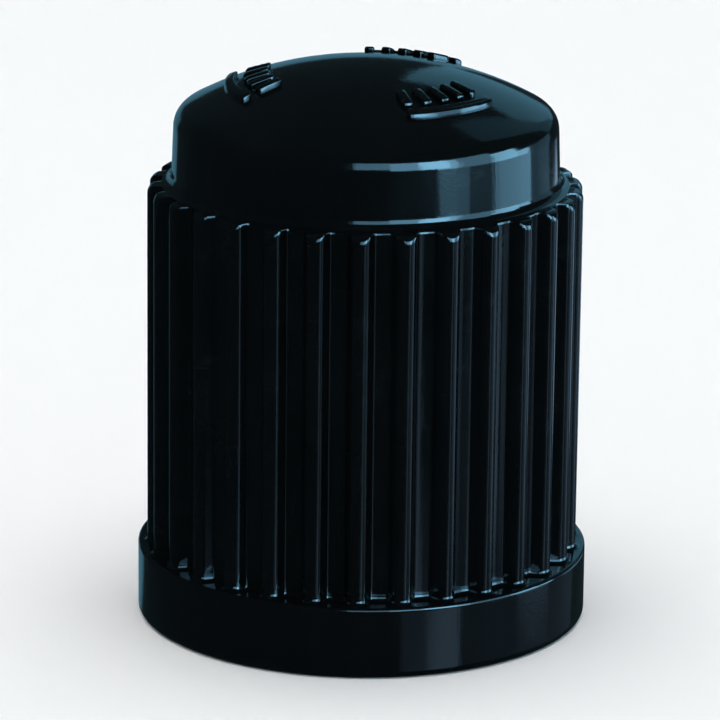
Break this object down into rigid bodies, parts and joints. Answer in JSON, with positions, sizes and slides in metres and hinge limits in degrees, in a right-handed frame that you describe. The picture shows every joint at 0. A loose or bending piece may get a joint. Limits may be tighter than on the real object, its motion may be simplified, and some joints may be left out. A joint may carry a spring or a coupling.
{
  "type": "tyre valve cap",
  "caption": "Black plastic screw cap for a tyre valve stem, with a ribbed grip, smooth collar, domed top with raised marks and a rubber seal inside.",
  "frame": {"origin": "centre of the rim round the open mouth, on the plane it stands on", "axes": "+Z along the cap's axis from the open mouth to the domed crown; -Y is the side that faces the camera, with a rib on it"},
  "size_m": [0.01, 0.01, 0.0125],
  "materials": {
    "cap_plastic": "satin",
    "seal_rubber": "matte"
  },
  "bodies": {
    "root": {"cap_shell": "cap_plastic", "sealing_washer": "seal_rubber"}
  },
  "joints": []
}
